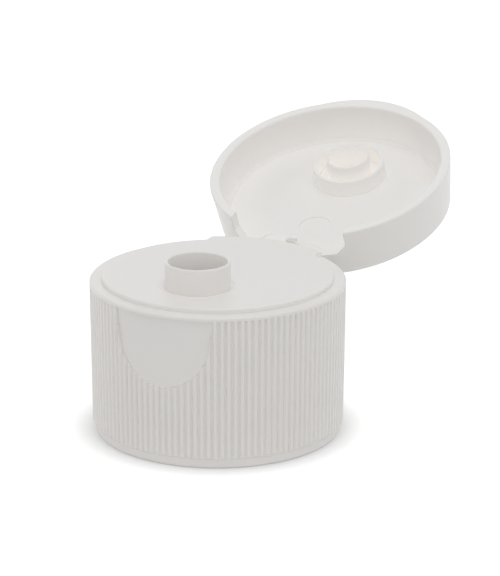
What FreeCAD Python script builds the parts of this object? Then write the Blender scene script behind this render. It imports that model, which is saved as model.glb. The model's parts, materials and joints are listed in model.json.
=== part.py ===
"""Flip top cap for a 24-410 bottle neck: ribbed closure, hinged lid and film hinge.

One moulding of polypropylene, drawn as three bodies because the lid swings on its film.
Millimetres. The origin is on the closure's axis at its foot, +Z is up, the thumb recess
faces -Y and the hinge is at +Y. The lid is drawn closed and placed open.
"""
import FreeCAD, Part
import os

import Sketcher

# sizes that are given
DIMENSIONS = [
    # closure skirt
    ("skirt_radius", 14.0, "rib crests at their lower end"),
    ("skirt_flare", 0.18, "growth of the crests' radius up to the rim"),
    ("foot_inset", 0.38, "foot, inside the rib crests"),
    ("band_draft", 0.04, "growth of the foot band's radius over its height"),
    ("band_height", 1.0, "plain band under the ribs"),
    ("shoulder_height", 0.35, "slope from the band out to the crests"),
    ("rib_top", 16.85, "height at which the ribs run out under the rim"),
    ("rib_count", 120, "ribs round the skirt, at an even pitch"),
    ("rib_depth", 0.24, "depth of the grooves between ribs"),
    ("groove_mouth", 0.4, "width of a groove at the crests"),
    ("groove_root", 0.16, "width of a groove at its root"),
    ("foot_wall", 1.52, "wall at the foot, round the bore for the 24 mm neck thread"),
    ("neck_step", 0.3, "narrowing of the bore above the thread"),
    ("neck_clear", 0.35, "from the thread's bore up to the seal"),
    ("foot_chamfer", 0.15, "outer edge of the foot"),
    # deck
    ("rim_band", 0.5, "plain rim between the ribs and the ledge"),
    ("ledge_width", 1.32, "ledge that the lid's rim closes on"),
    ("deck_rise", 0.5, "raised deck above the ledge"),
    ("deck_thickness", 1.5, "deck wall"),
    ("rim_chamfer", 0.2, "outer edges of the ledge and the hinge platform"),
    ("deck_chamfer", 0.12, "top edge of the raised deck"),
    # thumb recess
    ("recess_half_width", 5.5, "half width of the recess, and radius of its round end"),
    ("recess_spread", 0.35, "growth of the half width up to the rim"),
    ("recess_foot", 8.95, "lowest point of the recess"),
    ("recess_margin", 0.06, "recess below the roots of the grooves"),
    # spout
    ("spout_offset", 4.83, "spout axis, in front of the closure axis"),
    ("spout_radius", 3.62, "outside of the spout"),
    ("spout_height", 2.77, "spout above the deck"),
    ("spout_lip_wall", 0.34, "wall of the spout at its lip"),
    ("throat_wall", 0.77, "wall of the spout at its throat"),
    ("throat_depth", 1.9, "depth of the flare below the lip"),
    ("spout_chamfer", 0.09, "edges of the spout's lip"),
    ("moat_width", 0.6, "shallow ring channel round the spout's foot"),
    ("moat_floor", 0.12, "flat floor of the channel"),
    ("moat_depth", 0.15, "depth of the channel"),
    # bore seal under the deck
    ("seal_inset", 3.0, "seal ring, inside the narrow part of the bore"),
    ("seal_wall", 0.8, "wall of the seal ring"),
    ("seal_height", 2.4, "seal ring below the deck"),
    ("seal_taper", 0.3, "lead-in taper of the seal ring"),
    # lid
    ("lid_gap", 0.1, "between the closed lid and the ledge"),
    ("lid_overhang", 0.14, "lid's rim outside the closure's rim"),
    ("lid_draft", 0.67, "narrowing of the lid's outside up to its panel"),
    ("lid_fit", 0.27, "between the deck's wall and the lid's mouth"),
    ("lid_mouth_draft", 0.35, "narrowing of the lid's inside up to its floor"),
    ("lid_height", 6.15, "lid from rim to outer face"),
    ("lid_panel", 1.6, "thickness of the lid's panel"),
    ("lid_top_chamfer", 0.4, "outer edge of the panel"),
    ("lid_rim_chamfer", 0.13, "edges of the lid's rim"),
    ("lid_floor_chamfer", 0.35, "corner between floor and skirt"),
    ("lip_reach", 0.4, "thumb lip beyond the lid's rim"),
    ("lip_height", 0.8, "height of the thumb lip on the lid's skirt"),
    ("lip_half_angle", 24, "half the arc over which the thumb lip fades out"),
    # plug and shroud inside the lid
    ("shroud_fit", 0.26, "between the spout and the ring that closes round it"),
    ("shroud_wall", 0.4, "wall of that ring"),
    ("shroud_height", 1.95, "height of that ring above the lid's floor"),
    ("plug_fit", 0.15, "between the throat and the plug that closes it"),
    ("plug_wall", 0.42, "wall of the plug"),
    ("plug_height", 2.85, "height of the plug above the lid's floor"),
    ("plug_taper", 0.15, "lead-in taper of the plug"),
    ("plug_lead", 0.85, "height of that taper"),
    ("thin_chamfer", 0.07, "edges of the shroud's and the plug's rims"),
    ("pin_mark_radius", 1.85, "ejector pin mark in the lid's floor"),
    ("pin_mark_offset", 5.8, "pin mark, behind the closure axis"),
    ("pin_mark_depth", 0.06, "depth of the pin mark"),
    # hinge
    ("hinge_reach", 0.94, "axis on which the lid swings, behind the closure's rim"),
    ("hinge_drop", 0.27, "that axis, below the deck"),
    ("open_angle", 161, "lid's swing from closed to the modelled pose"),
    ("notch_half_width", 7.1, "half width of the notch in the lid's skirt"),
    ("notch_height", 2.95, "height of the notch above the lid's rim"),
    ("notch_corner", 1.0, "sloped inner corners of the notch"),
    ("platform_gap", 0.25, "between the notch's sides and the hinge platform"),
    ("tongue_half_width", 1.5, "half width of the hinge tongue at its edge"),
    ("tongue_foot_half_width", 4.4, "half width of the tongue where it leaves the skirt"),
    ("tongue_lift", 0.75, "edge of the tongue above the hinge axis, lid closed"),
    ("film_half_width", 1.45, "half width of the film strap"),
    ("film_thickness", 0.3, "thickness of the film strap"),
    ("film_rise", 0.4, "crest of the strap above the hinge axis"),
    ("film_root", 0.15, "top of the strap below the deck, where it leaves the closure"),
    ("film_inset", 0.35, "strap inside the lid's rim, where it joins the tongue"),
]

# sizes that follow from the given ones
DERIVED = [
    ("skirt_top_radius", "skirt_radius + skirt_flare", "rib crests and rim at the top"),
    ("foot_radius", "skirt_radius - foot_inset", "outside of the foot"),
    ("neck_radius", "foot_radius - foot_wall", "bore that takes the neck thread"),
    ("neck_top_radius", "neck_radius - neck_step", "narrower top of the bore"),
    ("ledge_height", "rib_top + rim_band", "ledge for the lid's rim"),
    ("deck_height", "ledge_height + deck_rise", "top of the raised deck"),
    ("deck_radius", "skirt_top_radius - ledge_width", "wall of the raised deck"),
    ("underside", "deck_height - deck_thickness", "lower face of the deck"),
    ("neck_depth", "underside - seal_height - neck_clear", "depth of the thread's bore"),
    ("recess_depth", "rib_depth + recess_margin", "recess below the rib crests"),
    ("spout_top", "deck_height + spout_height", "height of the spout's lip"),
    ("spout_lip_radius", "spout_radius - spout_lip_wall", "inside of the spout at its lip"),
    ("throat_radius", "spout_radius - throat_wall", "inside of the spout at its throat"),
    ("seal_radius", "neck_top_radius - seal_inset", "outside of the seal ring"),
    ("lid_rim", "ledge_height + lid_gap", "height of the closed lid's rim"),
    ("lid_top", "lid_rim + lid_height", "height of the closed lid's outer face"),
    ("lid_floor", "lid_top - lid_panel", "height of the closed lid's inner face"),
    ("lid_rim_radius", "skirt_top_radius + lid_overhang", "outside of the lid at its rim"),
    ("lid_top_radius", "lid_rim_radius - lid_draft", "outside of the lid at its panel"),
    ("lid_mouth_radius", "deck_radius + lid_fit", "inside of the lid at its rim"),
    ("lid_floor_radius", "lid_mouth_radius - lid_mouth_draft", "inside of the lid at its floor"),
    ("shroud_bore", "spout_radius + shroud_fit", "inside of the shroud"),
    ("shroud_radius", "shroud_bore + shroud_wall", "outside of the shroud"),
    ("plug_radius", "throat_radius - plug_fit", "outside of the plug"),
    ("hinge_y", "skirt_top_radius + hinge_reach", "hinge axis, behind the closure axis"),
    ("hinge_z", "deck_height - hinge_drop", "height of the hinge axis"),
    ("notch_top", "lid_rim + notch_height", "inner end of the notch, lid closed"),
    ("tongue_edge", "hinge_z + tongue_lift", "edge of the tongue, lid closed"),
    ("platform_half_width", "notch_half_width - platform_gap", "half width of the hinge platform"),
    ("beyond", "skirt_top_radius * 1.25", "well outside the closure, for cuts"),
]

# millimetres by which joined shapes overlap, cuts run clear, and a groove's cut starts outside
OVERLAP = "0.3"
CLEAR = "1"
MOUTH_LIFT = "0.1"
# two edges' places are the same within this
SAME = 1e-4


def make_sheet(doc):
    """The dimensions, one row each: name, number or formula, meaning."""
    sheet = doc.addObject("Spreadsheet::Sheet", "Dims")
    rows = DIMENSIONS + [(alias, f"={formula}", meaning) for alias, formula, meaning in DERIVED]
    for row, (alias, content, meaning) in enumerate(rows, start=1):
        sheet.set(f"A{row}", alias)
        sheet.setAlias(f"B{row}", alias)
        sheet.set(f"B{row}", str(content))
        sheet.set(f"C{row}", meaning)
    doc.recompute()
    return sheet


def value(body, expression):
    """The number that a sheet expression has now."""
    return float(body.Document.Dims.evalExpression(expression))


def new_body(doc, label):
    body = doc.addObject("PartDesign::Body", label)
    body.Label = label
    return body


def new_sketch(body, role, name, lift=None):
    """A sketch on one of the body's own origin planes, lifted off it by an expression."""
    plane = next(item for item in body.Origin.OriginFeatures if item.Role == role)
    sketch = body.newObject("Sketcher::SketchObject", name)
    sketch.AttachmentSupport = [(plane, "")]
    sketch.MapMode = "FlatFace"
    if lift:
        sketch.setExpression("AttachmentOffset.Base.z", lift)
    return sketch


def fix_point(sketch, geometry, end, across, up):
    """Hold one sketch point at two sheet expressions."""
    for kind, axis, expression in (("DistanceX", -2, across), ("DistanceY", -1, up)):
        if expression == "0":
            sketch.addConstraint(Sketcher.Constraint("PointOnObject", geometry, end, axis))
            continue
        number = value(sketch, expression)
        index = sketch.addConstraint(Sketcher.Constraint(kind, -1, 1, geometry, end, number))
        sketch.setExpression(f"Constraints[{index}]", expression)


def outline(sketch, corners):
    """Add one closed outline of straight sides through corners given as expressions."""
    places = [FreeCAD.Vector(value(sketch, x), value(sketch, y), 0) for x, y in corners]
    first = sketch.GeometryCount
    count = len(corners)
    for index, place in enumerate(places):
        sketch.addGeometry(Part.LineSegment(place, places[(index + 1) % count]), False)
    for index, (across, up) in enumerate(corners):
        before = first + (index - 1) % count
        sketch.addConstraint(Sketcher.Constraint("Coincident", before, 2, first + index, 1))
        fix_point(sketch, first + index, 1, across, up)


def revolve(body, sketch, kind, name, angle=None):
    """Turn a sketch about its own vertical axis, to add or to cut."""
    feature = body.newObject(f"PartDesign::{kind}", name)
    feature.Profile = sketch
    feature.ReferenceAxis = (sketch, ["V_Axis"])
    feature.Angle = 360
    if angle:
        feature.Midplane = True
        feature.setExpression("Angle", angle)
    sketch.Visibility = False
    return feature


def extrude(body, sketch, kind, name, length, middle=False, flip=False):
    """Pad or pocket a sketch by a length given as an expression."""
    feature = body.newObject(f"PartDesign::{kind}", name)
    feature.Profile = sketch
    feature.setExpression("Length", length)
    feature.Midplane = middle
    feature.Reversed = flip
    sketch.Visibility = False
    return feature


def chamfer_rings(body, base, name, size, rings, offset="0"):
    """Chamfer base's edges on rings, each a radius and a height, about an axis offset to the front."""
    body.Document.recompute()
    wanted = [(value(body, ring), value(body, height)) for ring, height in rings]
    forward = value(body, offset)
    names = []
    for index, edge in enumerate(base.Shape.Edges, start=1):
        middle = edge.valueAt((edge.FirstParameter + edge.LastParameter) / 2)
        points = [vertex.Point for vertex in edge.Vertexes] + [middle]
        spots = [(FreeCAD.Vector(p.x, p.y + forward, 0).Length, p.z) for p in points]
        for ring, height in wanted:
            if all(abs(r - ring) < SAME and abs(z - height) < SAME for r, z in spots):
                names.append(f"Edge{index}")
    if not names:
        raise RuntimeError(f"{name}: no edge found")
    chamfer = body.newObject("PartDesign::Chamfer", name)
    chamfer.Base = (base, names)
    chamfer.setExpression("Size", size)
    return chamfer


def cut_with(body, cutter, name):
    """Cut another body out of this one."""
    feature = body.newObject("PartDesign::Boolean", name)
    feature.Type = "Cut"
    feature.addObjects([cutter])
    return feature


def add_shell(body):
    """Skirt and deck, turned in one piece, with the outer edges broken."""
    sketch = new_sketch(body, "XZ_Plane", "shell_section")
    outline(sketch, [
        ("Dims.neck_radius", "0"),
        ("Dims.foot_radius", "0"),
        ("Dims.foot_radius + Dims.band_draft", "Dims.band_height"),
        ("Dims.skirt_radius", "Dims.band_height + Dims.shoulder_height"),
        ("Dims.skirt_top_radius", "Dims.rib_top"),
        ("Dims.skirt_top_radius", "Dims.deck_height"),
        ("0", "Dims.deck_height"),
        ("0", "Dims.underside"),
        ("Dims.neck_top_radius", "Dims.underside"),
        ("Dims.neck_top_radius", "Dims.neck_depth"),
        ("Dims.neck_radius", "Dims.neck_depth"),
    ])
    shell = revolve(body, sketch, "Revolution", "shell")
    rim = chamfer_rings(body, shell, "platform_chamfer", "Dims.rim_chamfer",
                        [("Dims.skirt_top_radius", "Dims.deck_height")])
    return chamfer_rings(body, rim, "foot_chamfer", "Dims.foot_chamfer", [("Dims.foot_radius", "0")])


def add_grooves(body):
    """One tapered groove lofted up the skirt, repeated round it to leave the ribs."""
    sections = []
    for name, radius, height in (
        ("groove_low", "Dims.skirt_radius", "Dims.band_height"),
        ("groove_high", "Dims.skirt_top_radius", "Dims.rib_top"),
    ):
        sketch = new_sketch(body, "XY_Plane", name, height)
        spread = f"(Dims.groove_mouth - Dims.groove_root) / Dims.rib_depth * {MOUTH_LIFT}"
        mouth = f"(Dims.groove_mouth + {spread}) / 2"
        outline(sketch, [
            ("Dims.groove_root / 2", f"-({radius} - Dims.rib_depth)"),
            (mouth, f"-({radius} + {MOUTH_LIFT})"),
            (f"-{mouth}", f"-({radius} + {MOUTH_LIFT})"),
            ("-Dims.groove_root / 2", f"-({radius} - Dims.rib_depth)"),
        ])
        sketch.Visibility = False
        sections.append(sketch)
    groove = body.newObject("PartDesign::SubtractiveLoft", "groove")
    groove.Profile = sections[0]
    groove.Sections = [sections[1]]
    groove.Ruled = True
    body.Document.recompute()
    ribs = body.newObject("PartDesign::PolarPattern", "ribs")
    ribs.Originals = [groove]
    axis = next(item for item in body.Origin.OriginFeatures if item.Role == "Z_Axis")
    ribs.Axis = (axis, [""])
    ribs.Angle = 360
    ribs.setExpression("Occurrences", "Dims.rib_count")
    body.Tip = ribs
    return ribs


def recess_cutter(doc):
    """Round-ended block in front of the closure, hollowed just past the roots of the ribs."""
    body = new_body(doc, "recess_cutter")
    sketch = new_sketch(body, "XZ_Plane", "recess_outline")
    half = "Dims.recess_half_width"
    centre = "(Dims.recess_foot + Dims.recess_half_width)"
    top_half = "(Dims.recess_half_width + Dims.recess_spread)"
    corners = [(half, centre), (top_half, "Dims.rib_top"), (f"-{top_half}", "Dims.rib_top"),
               (f"-{half}", centre)]
    places = [FreeCAD.Vector(value(sketch, x), value(sketch, y), 0) for x, y in corners]
    for start, end in zip(places, places[1:]):
        sketch.addGeometry(Part.LineSegment(start, end), False)
    bottom = FreeCAD.Vector(0, value(sketch, "Dims.recess_foot"), 0)
    sketch.addGeometry(Part.Arc(places[3], bottom, places[0]), False)
    for line in (0, 1):
        sketch.addConstraint(Sketcher.Constraint("Coincident", line, 2, line + 1, 1))
    sketch.addConstraint(Sketcher.Constraint("Coincident", 3, 2, 0, 1))
    sketch.addConstraint(Sketcher.Constraint("Coincident", 2, 2, 3, 1))
    for line, (across, up) in enumerate(corners[:3]):
        fix_point(sketch, line, 1, across, up)
    fix_point(sketch, 2, 2, *corners[3])
    index = sketch.addConstraint(Sketcher.Constraint("DistanceY", -1, 1, 3, 3, value(sketch, centre)))
    sketch.setExpression(f"Constraints[{index}]", centre)
    extrude(body, sketch, "Pad", "block", "Dims.beyond")
    core = new_sketch(body, "XZ_Plane", "recess_core")
    low = "(Dims.band_height + Dims.shoulder_height)"
    slope = f"(Dims.skirt_flare / (Dims.rib_top - {low}))"
    outline(core, [
        ("0", "0"),
        (f"Dims.skirt_radius - Dims.recess_depth - {slope} * {low}", "0"),
        (f"Dims.skirt_top_radius - Dims.recess_depth + {slope} * {CLEAR}", f"Dims.rib_top + {CLEAR}"),
        ("0", f"Dims.rib_top + {CLEAR}"),
    ])
    revolve(body, core, "Groove", "core")
    return body


def ledge_cutter(doc):
    """Ring that lowers the ledge round the deck, interrupted at the hinge platform."""
    body = new_body(doc, "ledge_cutter")
    ring = new_sketch(body, "XZ_Plane", "ledge_ring")
    outline(ring, [
        ("Dims.deck_radius", "Dims.ledge_height"),
        ("Dims.beyond", "Dims.ledge_height"),
        ("Dims.beyond", f"Dims.deck_height + {CLEAR}"),
        ("Dims.deck_radius", f"Dims.deck_height + {CLEAR}"),
    ])
    revolve(body, ring, "Revolution", "ring")
    platform = new_sketch(body, "XY_Plane", "platform_outline")
    outline(platform, [
        ("-Dims.platform_half_width", "0"),
        ("Dims.platform_half_width", "0"),
        ("Dims.platform_half_width", f"Dims.beyond + {CLEAR}"),
        ("-Dims.platform_half_width", f"Dims.beyond + {CLEAR}"),
    ])
    extrude(body, platform, "Pocket", "platform", f"Dims.deck_height + 2 * {CLEAR}", flip=True)
    return body


def add_spout(body):
    """Spout on the deck, its flared bore and the shallow channel round its foot."""
    post = new_sketch(body, "XZ_Plane", "spout_post", "Dims.spout_offset")
    outline(post, [
        ("0", f"Dims.deck_height - {OVERLAP}"),
        ("Dims.spout_radius", f"Dims.deck_height - {OVERLAP}"),
        ("Dims.spout_radius", "Dims.spout_top"),
        ("0", "Dims.spout_top"),
    ])
    revolve(body, post, "Revolution", "spout")
    channel = new_sketch(body, "XZ_Plane", "moat_section", "Dims.spout_offset")
    outline(channel, [
        ("Dims.spout_radius", "Dims.deck_height - Dims.moat_depth"),
        ("Dims.spout_radius + Dims.moat_floor", "Dims.deck_height - Dims.moat_depth"),
        ("Dims.spout_radius + Dims.moat_width", "Dims.deck_height"),
        ("Dims.spout_radius", "Dims.deck_height"),
    ])
    revolve(body, channel, "Groove", "moat")
    bore = new_sketch(body, "XZ_Plane", "spout_bore", "Dims.spout_offset")
    outline(bore, [
        ("0", f"Dims.underside - {CLEAR}"),
        ("Dims.throat_radius", f"Dims.underside - {CLEAR}"),
        ("Dims.throat_radius", "Dims.spout_top - Dims.throat_depth"),
        ("Dims.spout_lip_radius", "Dims.spout_top"),
        ("Dims.spout_lip_radius", f"Dims.spout_top + {CLEAR}"),
        ("0", f"Dims.spout_top + {CLEAR}"),
    ])
    bored = revolve(body, bore, "Groove", "bore")
    return chamfer_rings(body, bored, "spout_chamfer", "Dims.spout_chamfer",
                         [("Dims.spout_radius", "Dims.spout_top"),
                          ("Dims.spout_lip_radius", "Dims.spout_top")],
                         "Dims.spout_offset")


def add_seal(body):
    """Ring under the deck that seals in the bottle's mouth."""
    section = new_sketch(body, "XZ_Plane", "seal_section")
    outline(section, [
        ("Dims.seal_radius - Dims.seal_wall", f"Dims.underside + {OVERLAP}"),
        ("Dims.seal_radius - Dims.seal_wall", "Dims.underside - Dims.seal_height"),
        ("Dims.seal_radius - Dims.seal_taper", "Dims.underside - Dims.seal_height"),
        ("Dims.seal_radius", "Dims.underside - Dims.seal_height / 2"),
        ("Dims.seal_radius", f"Dims.underside + {OVERLAP}"),
    ])
    return revolve(body, section, "Revolution", "seal")


def make_closure(doc):
    """Ribbed closure with its deck, spout and seal."""
    recess = recess_cutter(doc)
    ledge = ledge_cutter(doc)
    body = new_body(doc, "closure_body")
    add_shell(body)
    stepped = cut_with(body, ledge, "ledge")
    deck = chamfer_rings(body, stepped, "deck_chamfer", "Dims.deck_chamfer",
                         [("Dims.deck_radius", "Dims.deck_height")])
    chamfer_rings(body, deck, "ledge_chamfer", "Dims.rim_chamfer",
                  [("Dims.skirt_top_radius", "Dims.ledge_height")])
    add_seal(body)
    add_spout(body)
    add_grooves(body)
    cut_with(body, recess, "thumb_recess")
    doc.recompute()
    return body


def make_lid(doc):
    """Lid with its plug, shroud, thumb lip and hinge notch, drawn closed and placed open."""
    body = new_body(doc, "lid")
    section = new_sketch(body, "XZ_Plane", "lid_section")
    outline(section, [
        ("Dims.lid_mouth_radius", "Dims.lid_rim"),
        ("Dims.lid_rim_radius", "Dims.lid_rim"),
        ("Dims.lid_top_radius", "Dims.lid_top"),
        ("0", "Dims.lid_top"),
        ("0", "Dims.lid_floor"),
        ("Dims.lid_floor_radius", "Dims.lid_floor"),
    ])
    shell = revolve(body, section, "Revolution", "lid_shell")
    top = chamfer_rings(body, shell, "lid_top_chamfer", "Dims.lid_top_chamfer",
                        [("Dims.lid_top_radius", "Dims.lid_top")])
    floor = chamfer_rings(body, top, "lid_floor_chamfer", "Dims.lid_floor_chamfer",
                          [("Dims.lid_floor_radius", "Dims.lid_floor")])
    chamfer_rings(body, floor, "lid_rim_chamfer", "Dims.lid_rim_chamfer",
                  [("Dims.lid_rim_radius", "Dims.lid_rim"), ("Dims.lid_mouth_radius", "Dims.lid_rim")])
    add_lip(body)
    cut_hinge_side(body)
    add_plug(body)
    place_open(body)
    doc.recompute()
    return body


def add_lip(body):
    """Thumb lip: a crescent on the front of the lid's rim that fades out to both sides."""
    crest = "(Dims.lid_rim_radius + Dims.lip_reach)"
    fade = f"({crest} - Dims.lid_rim_radius * cos(Dims.lip_half_angle * 1 deg))"
    offset = f"(({crest} * {crest} - Dims.lid_rim_radius * Dims.lid_rim_radius) / (2 * {fade}))"
    sketch = new_sketch(body, "XY_Plane", "lip_outline", "Dims.lid_rim")
    shift = value(sketch, offset)
    sizes = [(f"{crest} - {offset}", f"-{offset}"), (f"Dims.lid_rim_radius - {OVERLAP}", "0")]
    outer, inner = (value(sketch, size) for size, _ in sizes)
    y = (shift ** 2 + inner ** 2 - outer ** 2) / (-2 * shift)
    x = (inner ** 2 - y ** 2) ** 0.5
    left, right = FreeCAD.Vector(-x, y, 0), FreeCAD.Vector(x, y, 0)
    for lowest in (-shift - outer, -inner):
        sketch.addGeometry(Part.Arc(left, FreeCAD.Vector(0, lowest, 0), right), False)
    for arc, (size, centre) in enumerate(sizes):
        fix_point(sketch, arc, 3, "0", centre)
        index = sketch.addConstraint(Sketcher.Constraint("Radius", arc, value(sketch, size)))
        sketch.setExpression(f"Constraints[{index}]", size)
    sketch.addConstraint(Sketcher.Constraint("Coincident", 0, 1, 1, 1))
    sketch.addConstraint(Sketcher.Constraint("Coincident", 0, 2, 1, 2))
    return extrude(body, sketch, "Pad", "thumb_lip", "Dims.lip_height")


def cut_hinge_side(body):
    """Notch in the back of the lid's skirt, leaving the hinge tongue in its middle."""
    notch = new_sketch(body, "XZ_Plane", "notch_outline", "0 - Dims.beyond")
    half = [
        ("Dims.tongue_half_width", "Dims.tongue_edge"),
        ("Dims.tongue_foot_half_width", "Dims.notch_top"),
        ("Dims.notch_half_width - Dims.notch_corner", "Dims.notch_top"),
        ("Dims.notch_half_width", "Dims.notch_top - Dims.notch_corner"),
        ("Dims.notch_half_width", f"Dims.lid_rim - {CLEAR}"),
    ]
    outline(notch, half + [(f"-({across})", up) for across, up in reversed(half)])
    return extrude(body, notch, "Pocket", "notch", "Dims.beyond - Dims.lid_floor_radius / 2", flip=True)


def add_plug(body):
    """Shroud and plug over the spout, and the ejector pin mark."""
    ring = new_sketch(body, "XZ_Plane", "shroud_section", "Dims.spout_offset")
    outline(ring, [
        ("Dims.shroud_bore", f"Dims.lid_floor + {OVERLAP}"),
        ("Dims.shroud_bore", "Dims.lid_floor - Dims.shroud_height"),
        ("Dims.shroud_radius", "Dims.lid_floor - Dims.shroud_height"),
        ("Dims.shroud_radius", f"Dims.lid_floor + {OVERLAP}"),
    ])
    revolve(body, ring, "Revolution", "shroud")
    plug = new_sketch(body, "XZ_Plane", "plug_section", "Dims.spout_offset")
    outline(plug, [
        ("Dims.plug_radius - Dims.plug_wall", f"Dims.lid_floor + {OVERLAP}"),
        ("Dims.plug_radius - Dims.plug_wall", "Dims.lid_floor - Dims.plug_height"),
        ("Dims.plug_radius - Dims.plug_taper", "Dims.lid_floor - Dims.plug_height"),
        ("Dims.plug_radius", "Dims.lid_floor - Dims.plug_height + Dims.plug_lead"),
        ("Dims.plug_radius", f"Dims.lid_floor + {OVERLAP}"),
    ])
    hollow = revolve(body, plug, "Revolution", "plug")
    chamfer_rings(body, hollow, "thin_chamfer", "Dims.thin_chamfer", [
        ("Dims.shroud_radius", "Dims.lid_floor - Dims.shroud_height"),
        ("Dims.shroud_bore", "Dims.lid_floor - Dims.shroud_height"),
        ("Dims.plug_radius - Dims.plug_taper", "Dims.lid_floor - Dims.plug_height"),
        ("Dims.plug_radius - Dims.plug_wall", "Dims.lid_floor - Dims.plug_height"),
    ], "Dims.spout_offset")
    mark = new_sketch(body, "XY_Plane", "pin_mark_outline", "Dims.lid_floor")
    centre = FreeCAD.Vector(0, value(mark, "Dims.pin_mark_offset"), 0)
    radius = value(mark, "Dims.pin_mark_radius")
    circle = mark.addGeometry(Part.Circle(centre, FreeCAD.Vector(0, 0, 1), radius), False)
    fix_point(mark, circle, 3, "0", "Dims.pin_mark_offset")
    index = mark.addConstraint(Sketcher.Constraint("Radius", circle, radius))
    mark.setExpression(f"Constraints[{index}]", "Dims.pin_mark_radius")
    return extrude(body, mark, "Pocket", "pin_mark", "Dims.pin_mark_depth", flip=True)


def place_open(body):
    """Swing the lid about its hinge axis from closed to open."""
    body.setExpression(
        "Placement",
        "placement(vector(0; 0; 0); rotation(vector(-1; 0; 0); Dims.open_angle);"
        " vector(0; Dims.hinge_y; Dims.hinge_z))",
    )


def swung(across, up):
    """Where a point of the closed lid's side view lies once the lid is open."""
    out = f"({across} - Dims.hinge_y)"
    rise = f"({up} - Dims.hinge_z)"
    return (
        f"Dims.hinge_y + {out} * cos(Dims.open_angle * 1 deg) + {rise} * sin(Dims.open_angle * 1 deg)",
        f"Dims.hinge_z - {out} * sin(Dims.open_angle * 1 deg) + {rise} * cos(Dims.open_angle * 1 deg)",
    )


def make_hinge(doc):
    """Arched film strap from the hinge platform to the edge of the lid's tongue."""
    body = new_body(doc, "living_hinge")
    sketch = new_sketch(body, "YZ_Plane", "strap_section")
    root = "(Dims.deck_height - Dims.film_root)"
    crest = "(Dims.hinge_z + Dims.film_rise)"
    inside = "(Dims.lid_rim_radius - Dims.film_inset)"
    outline(sketch, [
        (f"Dims.skirt_top_radius - {CLEAR}", root),
        ("Dims.skirt_top_radius", root),
        ("Dims.hinge_y", crest),
        swung(f"({inside} - Dims.film_thickness)", "Dims.tongue_edge"),
        swung(inside, "Dims.tongue_edge"),
        ("Dims.hinge_y", f"{crest} - Dims.film_thickness"),
        ("Dims.skirt_top_radius", f"{root} - Dims.film_thickness"),
        (f"Dims.skirt_top_radius - {CLEAR}", f"{root} - Dims.film_thickness"),
    ])
    extrude(body, sketch, "Pad", "strap", "2 * Dims.film_half_width", middle=True)
    inner = new_sketch(body, "XZ_Plane", "closure_inside")
    outline(inner, [
        ("0", "0"),
        ("Dims.skirt_top_radius", "0"),
        ("Dims.skirt_top_radius", "Dims.deck_height"),
        ("0", "Dims.deck_height"),
    ])
    revolve(body, inner, "Groove", "closure_clearance")
    doc.recompute()
    return body


def check(doc, parts):
    """Stop if any object failed or a part has no sound solid."""
    for item in doc.Objects:
        if any(state in item.State for state in ("Invalid", "Error")):
            raise RuntimeError(f"{item.Name} failed to compute: {item.State}")
    for part in parts:
        shape = part.Shape
        if shape.isNull() or not shape.isValid() or not shape.Solids:
            raise RuntimeError(f"{part.Label} has no valid shape")


def main():
    doc = FreeCAD.newDocument("flip_top_cap")
    make_sheet(doc)
    parts = [make_closure(doc), make_lid(doc), make_hinge(doc)]
    doc.recompute()
    check(doc, parts)
    os.makedirs("parts", exist_ok=True)
    for part in parts:
        part.Shape.exportStep(f"parts/{part.Label}.step")
        box = part.Shape.BoundBox
        print(part.Label, len(part.Shape.Solids), "solid,", round(part.Shape.Volume, 2), "mm3",
              [round(edge, 2) for edge in (box.XMin, box.YMin, box.ZMin, box.XMax, box.YMax, box.ZMax)])


main()
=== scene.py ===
"""Looks of the flip top cap: plastics, neck thread, film hinge, floor, lamp, world and camera.

Metres, in the CAD frame: +Z up, thumb recess towards -Y, hinge towards +Y.
"""
import json
import math

import bmesh
import bpy
from mathutils import Matrix, Vector


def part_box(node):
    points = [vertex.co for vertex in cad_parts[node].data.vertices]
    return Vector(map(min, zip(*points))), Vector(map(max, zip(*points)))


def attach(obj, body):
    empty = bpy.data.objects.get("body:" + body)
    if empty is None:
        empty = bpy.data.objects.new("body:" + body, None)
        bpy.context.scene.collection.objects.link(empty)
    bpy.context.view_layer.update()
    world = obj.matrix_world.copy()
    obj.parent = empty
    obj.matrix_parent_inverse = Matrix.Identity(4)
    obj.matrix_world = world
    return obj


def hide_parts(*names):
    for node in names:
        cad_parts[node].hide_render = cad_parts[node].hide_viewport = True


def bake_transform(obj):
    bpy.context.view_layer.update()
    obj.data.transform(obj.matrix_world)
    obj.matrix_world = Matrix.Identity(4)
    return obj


MM = 0.001

# camera: degrees to the right of the thumb recess and above it, on a long lens
VIEW_AZIMUTH = 26.1
VIEW_ELEVATION = 17.9
VIEW_ROLL = 0.07
VIEW_DISTANCE = 350 * MM
VIEW_ASIDE = 3.56 * MM
VIEW_HEIGHT = 16.12 * MM
LENS = 197.8
SENSOR = 36.0
CLIP_START = 0.01
CLIP_END = 10

# light: sky strength, and one soft lamp high on the right
SKY_STRENGTH = 0.76
KEY_SIZE = 0.5
KEY_POWER = 0.55
KEY_PLACE = (0.12, -0.12, 0.6)
KEY_AIM = (0, 0.01, 0.01)
KEY_COLOUR = (0.97, 0.985, 1.0)

# floor: glow added where it is seen, dimmed where the object stands close as a painted contact shadow
FLOOR_SIZE = 4.0
FLOOR_DROP = 0.02 * MM
FLOOR_COLOUR = (0.8, 0.8, 0.8, 1)
FLOOR_LIFT = 0.5
PAINTED_CONTACT_SHADOW_REACH = 4 * MM
PAINTED_CONTACT_SHADOW_CLOSED = 0.5
PAINTED_CONTACT_SHADOW_SHARE = 0.25
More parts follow.
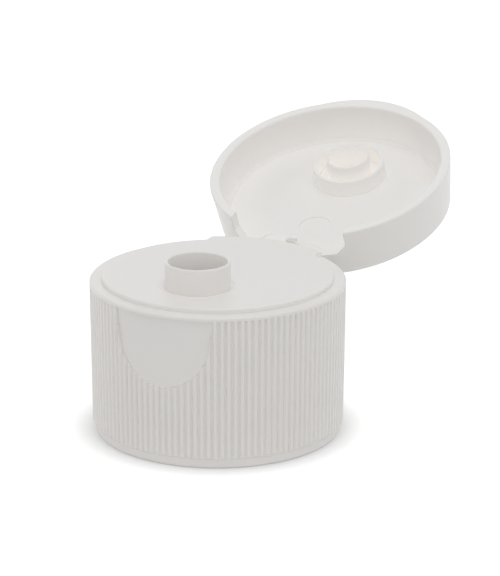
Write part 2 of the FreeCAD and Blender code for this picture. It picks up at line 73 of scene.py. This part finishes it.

# plastic: light passes a little way in; hollows get painted light, an emission that grows with
# occlusion in place of light scattered inside the plastic
PLASTIC_IOR = 1.49
SUBSURFACE_WEIGHT = 0.2
SUBSURFACE_SCALE = 0.8 * MM
SUBSURFACE_RADIUS = (1.0, 0.85, 0.7)
# painted light: warm colour, reach and samples of the emission that brightens hollows
PAINTED_HOLLOW_LIGHT_COLOUR = (1.0, 0.955, 0.91, 1)
PAINTED_HOLLOW_LIGHT_REACH = 5 * MM
PAINTED_HOLLOW_LIGHT_SAMPLES = 8
MOTTLE_SCALE = 140.0
MOTTLE_DETAIL = 3.0
FLOW_SCALE = 45.0
FLOW_DETAIL = 2.0
FLOW_LOW = 0.3
FLOW_HIGH = 0.7
SHEEN_BELOW = 0.04
SHEEN_ABOVE = 0.05
GRAIN_SCALE = 9000.0
GRAIN_DETAIL = 2.0
GRAIN_STRENGTH = 0.12
GRAIN_DEPTH = 0.01 * MM
EDGE_RADIUS = 0.1 * MM
EDGE_SAMPLES = 4

# internal thread of a 24-410 closure
THREAD_PITCH = 3.175 * MM
THREAD_TURNS = 1.6
THREAD_DEPTH = 0.95 * MM
THREAD_ROOT_WIDTH = 1.7 * MM
THREAD_CREST_WIDTH = 0.7 * MM
THREAD_START = 3.2 * MM
THREAD_STEPS_PER_TURN = 120
THREAD_SINK = 0.02 * MM
THREAD_SHOULDER = 0.8
THREAD_SHOULDER_SPREAD = 0.15
THREAD_FLAT = 0.6
# degrees over which the bead fades at each end, and the share of its width that is left there
THREAD_FADE = 25.0
THREAD_END = 0.35

# film strap of the hinge: where it starts inside the closure and ends inside the lid
STRAP_HALF_WIDTH = 1.45 * MM
STRAP_FLARE = 0.35 * MM
STRAP_THICKNESS = 0.32 * MM
STRAP_THINNING = 0.12 * MM
STRAP_DECK_RISE = 0.6 * MM
STRAP_ROOT_IN = 0.25 * MM
STRAP_ROOT_DOWN = 0.3 * MM
STRAP_LID_IN = 0.1 * MM
STRAP_LID_UP = 0.1 * MM
STRAP_CREST = 0.38 * MM
STRAP_NEAR_SHARE = 0.4
STRAP_NEAR_RISE = 0.1 * MM
STRAP_FAR_SHARE = 0.5
STRAP_FAR_RISE = 0.16 * MM
STRAP_STEPS = 24
STRAP_ACROSS = 8


def new_mesh(name, vertices, faces, smooth=True):
    """A mesh object from plain lists."""
    mesh = bpy.data.meshes.new(name)
    mesh.from_pydata(vertices, [], faces)
    mesh.validate()
    mesh.polygons.foreach_set("use_smooth", [smooth] * len(mesh.polygons))
    piece = bpy.data.objects.new(name, mesh)
    bpy.context.scene.collection.objects.link(piece)
    return piece


def set_inputs(made, **inputs):
    """Fill a shader node's inputs by name, with _ for a space, and give the node back."""
    for key, content in inputs.items():
        made.inputs[key.replace("_", " ")].default_value = content
    return made


def polypropylene(name, colour, shade, roughness, painted_glow):
    """Satin off-white moulded plastic: faint mottle, soft edges, and painted light in hollows, an
    emission that grows with occlusion.
    """
    material = bpy.data.materials.new(name)
    material.use_nodes = True
    tree = material.node_tree
    tree.nodes.clear()
    out = tree.nodes.new("ShaderNodeOutputMaterial")
    shader = tree.nodes.new("ShaderNodeBsdfPrincipled")
    set_inputs(shader, IOR=PLASTIC_IOR, Subsurface_Weight=SUBSURFACE_WEIGHT,
               Subsurface_Scale=SUBSURFACE_SCALE, Subsurface_Radius=SUBSURFACE_RADIUS,
               Emission_Color=PAINTED_HOLLOW_LIGHT_COLOUR)
    place = tree.nodes.new("ShaderNodeTexCoord")
    mottle = set_inputs(tree.nodes.new("ShaderNodeTexNoise"), Scale=MOTTLE_SCALE, Detail=MOTTLE_DETAIL)
    tint = tree.nodes.new("ShaderNodeMix")
    tint.data_type = "RGBA"
    tint.inputs["A"].default_value = (*colour, 1)
    tint.inputs["B"].default_value = (*shade, 1)
    flow = set_inputs(tree.nodes.new("ShaderNodeTexNoise"), Scale=FLOW_SCALE, Detail=FLOW_DETAIL)
    sheen = set_inputs(tree.nodes.new("ShaderNodeMapRange"), From_Min=FLOW_LOW, From_Max=FLOW_HIGH,
                       To_Min=roughness - SHEEN_BELOW, To_Max=roughness + SHEEN_ABOVE)
    # painted light: ambient occlusion finds hollows and drives an emission that brightens them
    painted_light_hollow_mask = set_inputs(tree.nodes.new("ShaderNodeAmbientOcclusion"), Distance=PAINTED_HOLLOW_LIGHT_REACH)
    painted_light_hollow_mask.samples = PAINTED_HOLLOW_LIGHT_SAMPLES
    painted_hollow_light = set_inputs(tree.nodes.new("ShaderNodeMapRange"), From_Min=0.0, From_Max=1.0,
                             To_Min=painted_glow, To_Max=0.0)
    grain = set_inputs(tree.nodes.new("ShaderNodeTexNoise"), Scale=GRAIN_SCALE, Detail=GRAIN_DETAIL)
    edge = set_inputs(tree.nodes.new("ShaderNodeBevel"), Radius=EDGE_RADIUS)
    edge.samples = EDGE_SAMPLES
    bump = set_inputs(tree.nodes.new("ShaderNodeBump"), Strength=GRAIN_STRENGTH, Distance=GRAIN_DEPTH)
    links = tree.links
    for texture in (mottle, flow, grain):
        links.new(place.outputs["Object"], texture.inputs["Vector"])
    links.new(mottle.outputs["Fac"], tint.inputs["Factor"])
    links.new(tint.outputs["Result"], shader.inputs["Base Color"])
    links.new(flow.outputs["Fac"], sheen.inputs["Value"])
    links.new(sheen.outputs["Result"], shader.inputs["Roughness"])
    links.new(painted_light_hollow_mask.outputs["AO"], painted_hollow_light.inputs["Value"])
    links.new(painted_hollow_light.outputs["Result"], shader.inputs["Emission Strength"])
    links.new(grain.outputs["Fac"], bump.inputs["Height"])
    links.new(edge.outputs["Normal"], bump.inputs["Normal"])
    links.new(bump.outputs["Normal"], shader.inputs["Normal"])
    links.new(shader.outputs["BSDF"], out.inputs["Surface"])
    return material


def dress(piece, material):
    """Give a piece or a CAD node one material."""
    piece.data.materials.clear()
    piece.data.materials.append(material)


def make_thread(bore_radius, material):
    """Helical bead standing in from the bore's wall, faded out at both ends."""
    steps = int(THREAD_TURNS * THREAD_STEPS_PER_TURN)
    vertices, faces = [], []
    for step in range(steps + 1):
        turn = step / THREAD_STEPS_PER_TURN
        angle = 2 * math.pi * turn
        to_end = min(step, steps - step) * 360.0 / THREAD_STEPS_PER_TURN
        fade = math.sin(min(1.0, to_end / THREAD_FADE) * math.pi / 2)
        height = THREAD_START + turn * THREAD_PITCH
        depth = THREAD_DEPTH * fade
        narrowing = THREAD_END + (1 - THREAD_END) * fade
        root = THREAD_ROOT_WIDTH / 2 * narrowing
        crest = THREAD_CREST_WIDTH / 2 * narrowing
        shoulder = crest + (root - crest) * THREAD_SHOULDER_SPREAD
        flat = crest * THREAD_FLAT
        section = ((THREAD_SINK, -root), (-depth * THREAD_SHOULDER, -shoulder), (-depth, -flat),
                   (-depth, flat), (-depth * THREAD_SHOULDER, shoulder), (THREAD_SINK, root))
        for inward, up in section:
            radius = bore_radius + inward
            vertices.append((radius * math.cos(angle), radius * math.sin(angle), height + up))
        if step:
            old, new = (step - 1) * len(section), step * len(section)
            for corner in range(len(section)):
                after = (corner + 1) % len(section)
                faces.append((old + corner, old + after, new + after, new + corner))
    count = len(section)
    faces.append(tuple(range(count)))
    faces.append(tuple(reversed(range(steps * count, (steps + 1) * count))))
    piece = new_mesh("neck_thread", vertices, faces)
    outward(piece)
    dress(piece, material)
    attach(piece, "closure")


def make_strap(hinge, deck_back, deck_height, lid_edge, material):
    """Arched film strap between the platform and the lid's tongue, thinnest at the hinge axis."""
    root = Vector((deck_back - STRAP_ROOT_IN, deck_height - STRAP_ROOT_DOWN))
    crest = Vector((hinge.y, hinge.z + STRAP_CREST))
    guides = (root, root.lerp(crest, STRAP_NEAR_SHARE) + Vector((0, STRAP_NEAR_RISE)), crest,
              crest.lerp(lid_edge, STRAP_FAR_SHARE) + Vector((0, STRAP_FAR_RISE)), lid_edge)
    ahead = lid_edge - root
    across = Vector((-ahead.y, ahead.x)).normalized()
    vertices = []
    for step in range(STRAP_STEPS + 1):
        share = step / STRAP_STEPS
        points = list(guides)
        while len(points) > 1:
            points = [first.lerp(second, share) for first, second in zip(points, points[1:])]
        middle = points[0]
        pinch = math.sin(math.pi * share)
        thick = (STRAP_THICKNESS - STRAP_THINNING * pinch) / 2
        wide = STRAP_HALF_WIDTH + STRAP_FLARE * (1 - pinch) ** 3
        row = [wide * (2 * side / STRAP_ACROSS - 1) for side in range(STRAP_ACROSS + 1)]
        vertices += [(x, *(middle + across * thick)) for x in row]
        vertices += [(x, *(middle - across * thick)) for x in reversed(row)]
    ring = 2 * (STRAP_ACROSS + 1)
    faces = []
    for step in range(STRAP_STEPS):
        old, new = step * ring, (step + 1) * ring
        for corner in range(ring):
            after = (corner + 1) % ring
            faces.append((old + corner, old + after, new + after, new + corner))
    faces.append(tuple(range(ring)))
    faces.append(tuple(reversed(range(STRAP_STEPS * ring, (STRAP_STEPS + 1) * ring))))
    piece = new_mesh("hinge_strap", vertices, faces)
    outward(piece)
    dress(piece, material)
    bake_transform(piece)
    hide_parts("living_hinge")


def outward(piece):
    """Make all faces look out of the closed mesh."""
    work = bmesh.new()
    work.from_mesh(piece.data)
    bmesh.ops.recalc_face_normals(work, faces=work.faces)
    work.to_mesh(piece.data)
    work.free()


def make_camera():
    """Long-lens camera that looks at the object from the front right."""
    azimuth, elevation, roll = (math.radians(a) for a in (VIEW_AZIMUTH, VIEW_ELEVATION, VIEW_ROLL))
    right = Vector((math.cos(azimuth), math.sin(azimuth), 0))
    back = Vector((math.sin(azimuth) * math.cos(elevation), -math.cos(azimuth) * math.cos(elevation),
                   math.sin(elevation)))
    up = back.cross(right)
    target = right * VIEW_ASIDE + Vector((0, 0, VIEW_HEIGHT))
    data = bpy.data.cameras.new("camera")
    data.lens = LENS
    data.sensor_width = SENSOR
    data.clip_start = CLIP_START
    data.clip_end = CLIP_END
    camera = bpy.data.objects.new("camera", data)
    bpy.context.scene.collection.objects.link(camera)
    turned_right = math.cos(roll) * right + math.sin(roll) * up
    turned_up = -math.sin(roll) * right + math.cos(roll) * up
    basis = Matrix((turned_right, turned_up, back)).transposed().to_4x4()
    camera.matrix_world = Matrix.Translation(target + back * VIEW_DISTANCE) @ basis
    bpy.context.scene.camera = camera


def make_lamp(name, size, power, place, aim, colour):
    """A soft square lamp that looks at a point."""
    data = bpy.data.lights.new(name, "AREA")
    data.shape = "SQUARE"
    data.size = size
    data.energy = power
    data.color = colour
    lamp = bpy.data.objects.new(name, data)
    bpy.context.scene.collection.objects.link(lamp)
    lamp.location = place
    lamp.rotation_euler = (Vector(aim) - Vector(place)).to_track_quat("-Z", "Y").to_euler()


def seen_directly(tree):
    """1 for rays that show the background: camera, glossy and transmission rays."""
    path = tree.nodes.new("ShaderNodeLightPath")
    total = path.outputs["Is Camera Ray"]
    for extra in ("Is Glossy Ray", "Is Transmission Ray"):
        add = tree.nodes.new("ShaderNodeMath")
        add.operation = "MAXIMUM"
        tree.links.new(total, add.inputs[0])
        tree.links.new(path.outputs[extra], add.inputs[1])
        total = add.outputs[0]
    return total


def make_world(strength):
    """White where it is seen, a plain grey sky where it lights the object."""
    world = bpy.data.worlds.new("studio")
    bpy.context.scene.world = world
    world.use_nodes = True
    tree = world.node_tree
    tree.nodes.clear()
    out = tree.nodes.new("ShaderNodeOutputWorld")
    shown = set_inputs(tree.nodes.new("ShaderNodeBackground"), Color=(1, 1, 1, 1), Strength=1.0)
    light = set_inputs(tree.nodes.new("ShaderNodeBackground"), Color=(1, 1, 1, 1), Strength=strength)
    mix = tree.nodes.new("ShaderNodeMixShader")
    tree.links.new(seen_directly(tree), mix.inputs[0])
    tree.links.new(light.outputs[0], mix.inputs[1])
    tree.links.new(shown.outputs[0], mix.inputs[2])
    tree.links.new(mix.outputs[0], out.inputs["Surface"])


def make_floor(size, lift):
    """White floor that keeps the object's real shadow, with a painted contact shadow added close to
    the object.

    lift is the glow added where the floor is seen; it fades where the object stands close, painting a
    shadow there.
    """
    half = size / 2
    floor = new_mesh("floor", [(-half, -half, 0), (half, -half, 0), (half, half, 0), (-half, half, 0)],
                     [(0, 1, 2, 3)], smooth=False)
    floor.location.z = -FLOOR_DROP
    material = bpy.data.materials.new("floor_white")
    material.use_nodes = True
    tree = material.node_tree
    tree.nodes.clear()
    out = tree.nodes.new("ShaderNodeOutputMaterial")
    paper = set_inputs(tree.nodes.new("ShaderNodeBsdfDiffuse"), Color=FLOOR_COLOUR)
    painted_glow = set_inputs(tree.nodes.new("ShaderNodeEmission"), Color=(1, 1, 1, 1))
    # painted shadow: ambient occlusion near the object dims the floor's glow, a contact shadow painted
    # over the real one
    painted_shadow_occlusion = set_inputs(tree.nodes.new("ShaderNodeAmbientOcclusion"), Distance=PAINTED_CONTACT_SHADOW_REACH)
    painted_contact_shadow = set_inputs(tree.nodes.new("ShaderNodeMapRange"), From_Min=PAINTED_CONTACT_SHADOW_CLOSED, From_Max=1.0,
                      To_Min=PAINTED_CONTACT_SHADOW_SHARE * lift, To_Max=lift)
    none = set_inputs(tree.nodes.new("ShaderNodeEmission"), Color=(0, 0, 0, 1), Strength=0.0)
    pick = tree.nodes.new("ShaderNodeMixShader")
    both = tree.nodes.new("ShaderNodeAddShader")
    tree.links.new(painted_shadow_occlusion.outputs["AO"], painted_contact_shadow.inputs["Value"])
    tree.links.new(painted_contact_shadow.outputs["Result"], painted_glow.inputs["Strength"])
    tree.links.new(seen_directly(tree), pick.inputs[0])
    tree.links.new(none.outputs[0], pick.inputs[1])
    tree.links.new(painted_glow.outputs[0], pick.inputs[2])
    tree.links.new(paper.outputs[0], both.inputs[0])
    tree.links.new(pick.outputs[0], both.inputs[1])
    tree.links.new(both.outputs[0], out.inputs["Surface"])
    dress(floor, material)
    return floor


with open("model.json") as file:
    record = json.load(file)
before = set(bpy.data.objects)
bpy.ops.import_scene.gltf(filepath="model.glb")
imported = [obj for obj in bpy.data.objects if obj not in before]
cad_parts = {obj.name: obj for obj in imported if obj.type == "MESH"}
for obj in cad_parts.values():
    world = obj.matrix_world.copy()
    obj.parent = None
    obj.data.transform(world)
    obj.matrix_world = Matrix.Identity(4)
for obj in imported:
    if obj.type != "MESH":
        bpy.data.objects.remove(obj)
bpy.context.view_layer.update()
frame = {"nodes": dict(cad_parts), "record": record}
record = frame["record"]
nodes = frame["nodes"]

# closure and lid are one moulding of one plastic: the lid's lighter colour and stronger hollow glow
# are painted light, the closure's darker copy is painted shade
closure_plastic = polypropylene("closure_plastic", colour=(0.795, 0.775, 0.755),
                                shade=(0.815, 0.795, 0.775), roughness=0.38, painted_glow=0.08)
lid_plastic = polypropylene("lid_plastic", colour=(0.85, 0.835, 0.815),
                            shade=(0.87, 0.855, 0.835), roughness=0.36, painted_glow=0.17)
dress(nodes["closure_body"], closure_plastic)
dress(nodes["lid"], lid_plastic)

neck = next(mount for mount in record["mounts"] if mount["name"] == "neck_bore")
make_thread(neck["dims"]["r_mm"] * MM, closure_plastic)

joint = record["behaviour"]["joints"][0]
film_low, film_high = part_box("living_hinge")
make_strap(Vector((0, *joint["pos_m"][1:])), film_low.y, film_low.z + STRAP_DECK_RISE,
           Vector((film_high.y - STRAP_LID_IN, film_low.z + STRAP_LID_UP)), lid_plastic)

make_camera()
make_world(SKY_STRENGTH)
make_floor(FLOOR_SIZE, FLOOR_LIFT)
make_lamp("key", KEY_SIZE, KEY_POWER, KEY_PLACE, KEY_AIM, KEY_COLOUR)
bpy.context.scene.view_settings.view_transform = "Standard"
